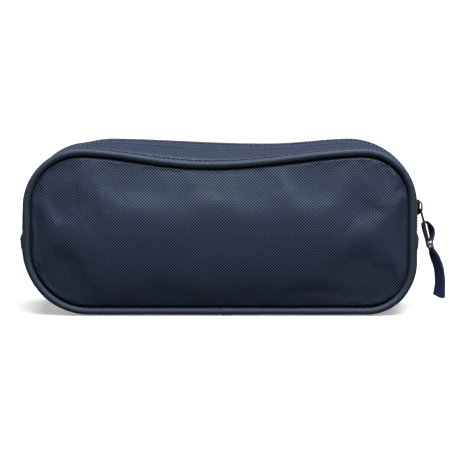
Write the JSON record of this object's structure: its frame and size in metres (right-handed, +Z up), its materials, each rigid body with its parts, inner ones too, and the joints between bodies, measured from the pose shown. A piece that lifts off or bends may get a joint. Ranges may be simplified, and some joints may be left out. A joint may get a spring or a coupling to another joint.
{
  "type": "pencil case",
  "caption": "Soft zipped pencil case with rounded corners and piped edges, that stands on its flat bottom and opens along the top.",
  "frame": {"origin": "middle of the flat underside that the case stands on", "axes": "+Z up, +X along the length towards the parked zip slider, front panel towards -Y"},
  "size_m": [0.2435, 0.069, 0.0989],
  "materials": {
    "shell_fabric": "woven polyester, soft sheen",
    "piping": "bias-cut woven polyester",
    "piping_cord": "solid filler cord",
    "lining": "plain woven lining",
    "binding": "woven edge tape",
    "zip_tape": "woven zip tape",
    "zip_coil": "dyed monofilament",
    "slider_metal": "dark gunmetal",
    "ribbon": "grosgrain ribbon",
    "clip": "bright nickel plate"
  },
  "bodies": {
    "case": {"bottom_gusset": "shell_fabric", "gusset_lining": "lining", "left_zip_end_tab": "shell_fabric", "right_zip_end_tab": "shell_fabric", "front_panel_lower": "shell_fabric", "front_lining_lower": "lining", "front_piping_lower": "piping", "front_piping_cord_lower": "piping_cord", "front_seam_binding_lower": "binding", "front_zip_strip_ends": "shell_fabric", "front_zip_tape_ends": "zip_tape", "front_zip_coil_ends": "zip_coil", "rear_panel_lower": "shell_fabric", "rear_lining_lower": "lining", "rear_piping_lower": "piping", "rear_piping_cord_lower": "piping_cord", "rear_seam_binding_lower": "binding", "rear_zip_strip_ends": "shell_fabric", "rear_zip_tape_ends": "zip_tape", "rear_zip_coil_ends": "zip_coil"},
    "front_flap": {"front_panel_upper": "shell_fabric", "front_lining_upper": "lining", "front_piping_upper": "piping", "front_piping_cord_upper": "piping_cord", "front_seam_binding_upper": "binding", "front_zip_strip_upper": "shell_fabric", "front_zip_tape_upper": "zip_tape", "front_zip_coil_upper": "zip_coil"},
    "rear_flap": {"rear_panel_upper": "shell_fabric", "rear_lining_upper": "lining", "rear_piping_upper": "piping", "rear_piping_cord_upper": "piping_cord", "rear_seam_binding_upper": "binding", "rear_zip_strip_upper": "shell_fabric", "rear_zip_tape_upper": "zip_tape", "rear_zip_coil_upper": "zip_coil"},
    "slider": {"slider_body": "slider_metal", "slider_bridge": "slider_metal"},
    "puller": {"pull_tab": "slider_metal", "pull_ribbon": "ribbon", "ribbon_clip": "clip"}
  },
  "joints": [
    {"name": "front_mouth", "type": "hinge", "parent": "case", "child": "front_flap", "pos_m": [0, -0.0345, 0.0658], "axis": [-1, 0, 0], "range_deg": [-30, 0]},
    {"name": "rear_mouth", "type": "hinge", "parent": "case", "child": "rear_flap", "pos_m": [0, 0.0345, 0.0658], "axis": [1, 0, 0], "range_deg": [-30, 0]},
    {"name": "slider_run", "type": "hinge", "parent": "case", "child": "slider", "pos_m": [0.0742, 0, 0.059], "axis": [0, -1, 0], "range_deg": [0, 90]},
    {"name": "puller_swing", "type": "hinge", "parent": "slider", "child": "puller", "pos_m": [0.1159, 0, 0.0574], "axis": [0, -1, 0], "range_deg": [-12, 145]}
  ]
}
